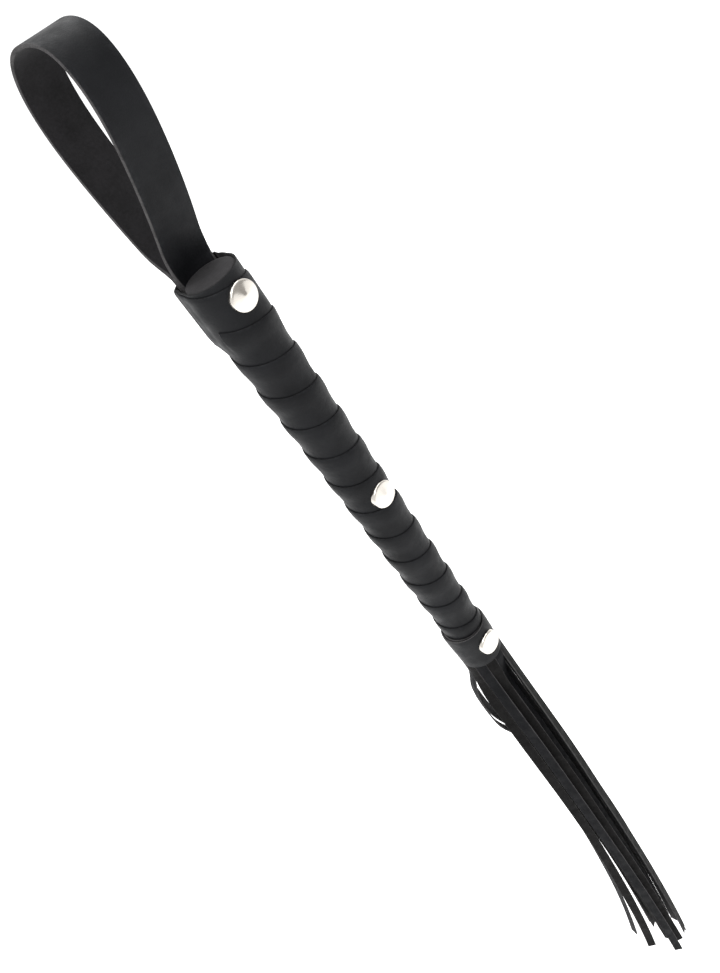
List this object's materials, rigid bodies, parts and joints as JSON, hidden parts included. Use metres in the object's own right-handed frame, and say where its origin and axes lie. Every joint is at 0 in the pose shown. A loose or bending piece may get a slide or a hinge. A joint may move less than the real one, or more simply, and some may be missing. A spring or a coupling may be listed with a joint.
{
  "type": "riding whip",
  "caption": "Short riding whip: leather-wrapped tapered handle with studs down one side, a wide wrist loop at the top and a lash of narrow cut leather tails.",
  "frame": {"origin": "centre of the outer face of the disc that closes the handle's upper end", "axes": "+Z along the handle's axis, from the lash towards the wrist loop; the studs face -Y; +X across the wrist loop's strap"},
  "size_m": [0.0455, 0.0501, 0.6962],
  "materials": {
    "wrap_leather": "satin, fine grain",
    "strap_leather": "satin, fine grain, suede inner face",
    "lash_leather": "satin, fine grain, raw edges",
    "disc_leather": "matt",
    "nickel": "polished",
    "steel": "plain",
    "wood": "plain turned"
  },
  "bodies": {
    "handle": {"handle_core": "wood", "end_disc": "disc_leather", "handle_wrap": "wrap_leather", "strap_tuck_front": "strap_leather", "strap_tuck_back": "strap_leather", "fringe_header": "lash_leather", "stud_cap_1": "nickel", "stud_cap_2": "nickel", "stud_cap_3": "nickel", "stud_nail_1": "steel", "stud_nail_2": "steel", "stud_nail_3": "steel"},
    "wrist_loop": {"strap_loop": "strap_leather"},
    "lash": {"tail_06": "lash_leather", "tail_07": "lash_leather", "tail_13": "lash_leather", "tail_14": "lash_leather", "tail_15": "lash_leather", "tail_16": "lash_leather", "tail_17": "lash_leather", "tail_18": "lash_leather"},
    "strip_01": {"tail_01": "lash_leather"},
    "strip_02": {"tail_02": "lash_leather"},
    "strip_03": {"tail_03": "lash_leather"},
    "strip_04": {"tail_04": "lash_leather"},
    "strip_05": {"tail_05": "lash_leather"},
    "strip_08": {"tail_08": "lash_leather"},
    "strip_09": {"tail_09": "lash_leather"},
    "strip_10": {"tail_10": "lash_leather"},
    "strip_11": {"tail_11": "lash_leather"},
    "strip_12": {"tail_12": "lash_leather"}
  },
  "joints": [
    {"name": "loop_flex", "type": "hinge", "parent": "handle", "child": "wrist_loop", "pos_m": [0.0008, 0.0126, 0.0026], "axis": [1, 0, 0], "range_deg": [-45, 45], "stiffness_Nm_per_rad": 0.15},
    {"name": "lash_swing", "type": "hinge", "parent": "handle", "child": "lash", "pos_m": [0, 0.0122, -0.2389], "axis": [1, 0, 0], "range_deg": [0, 25], "stiffness_Nm_per_rad": 0.06, "springref_deg": -6.88},
    {"name": "strip_01_swing", "type": "hinge", "parent": "lash", "child": "strip_01", "pos_m": [-0.00121, 0.01089, -0.2389], "axis": [0.9939, 0.1107, 0], "range_deg": [0, 40], "stiffness_Nm_per_rad": 0.004, "springref_deg": -6.88},
    {"name": "strip_02_swing", "type": "hinge", "parent": "lash", "child": "strip_02", "pos_m": [-0.00627, 0.00887, -0.2389], "axis": [0.8167, 0.5771, 0], "range_deg": [0, 40], "stiffness_Nm_per_rad": 0.004, "springref_deg": -6.88},
    {"name": "strip_03_swing", "type": "hinge", "parent": "lash", "child": "strip_03", "pos_m": [-0.00971, 0.00466, -0.2389], "axis": [0.4324, 0.9017, 0], "range_deg": [0, 40], "stiffness_Nm_per_rad": 0.004, "springref_deg": -6.88},
    {"name": "strip_04_swing", "type": "hinge", "parent": "lash", "child": "strip_04", "pos_m": [-0.01065, -0.0007, -0.2389], "axis": [-0.0658, 0.9978, 0], "range_deg": [0, 40], "stiffness_Nm_per_rad": 0.004, "springref_deg": -6.88},
    {"name": "strip_05_swing", "type": "hinge", "parent": "lash", "child": "strip_05", "pos_m": [-0.00883, -0.00583, -0.2389], "axis": [-0.5508, 0.8346, 0], "range_deg": [0, 40], "stiffness_Nm_per_rad": 0.004, "springref_deg": -6.88},
    {"name": "strip_08_swing", "type": "hinge", "parent": "lash", "child": "strip_08", "pos_m": [0.00576, -0.00853, -0.2389], "axis": [-0.8289, -0.5594, 0], "range_deg": [0, 40], "stiffness_Nm_per_rad": 0.004, "springref_deg": -6.88},
    {"name": "strip_09_swing", "type": "hinge", "parent": "lash", "child": "strip_09", "pos_m": [0.00922, -0.00434, -0.2389], "axis": [-0.426, -0.9047, 0], "range_deg": [0, 40], "stiffness_Nm_per_rad": 0.004, "springref_deg": -6.88},
    {"name": "strip_10_swing", "type": "hinge", "parent": "lash", "child": "strip_10", "pos_m": [0.01004, 0.00103, -0.2389], "axis": [0.102, -0.9948, 0], "range_deg": [0, 40], "stiffness_Nm_per_rad": 0.004, "springref_deg": -6.88},
    {"name": "strip_11_swing", "type": "hinge", "parent": "lash", "child": "strip_11", "pos_m": [0.00796, 0.00605, -0.2389], "axis": [0.605, -0.7962, 0], "range_deg": [0, 40], "stiffness_Nm_per_rad": 0.004, "springref_deg": -6.88},
    {"name": "strip_12_swing", "type": "hinge", "parent": "lash", "child": "strip_12", "pos_m": [0.00356, 0.00923, -0.2389], "axis": [0.9331, -0.3596, 0], "range_deg": [0, 40], "stiffness_Nm_per_rad": 0.004, "springref_deg": -6.88}
  ]
}
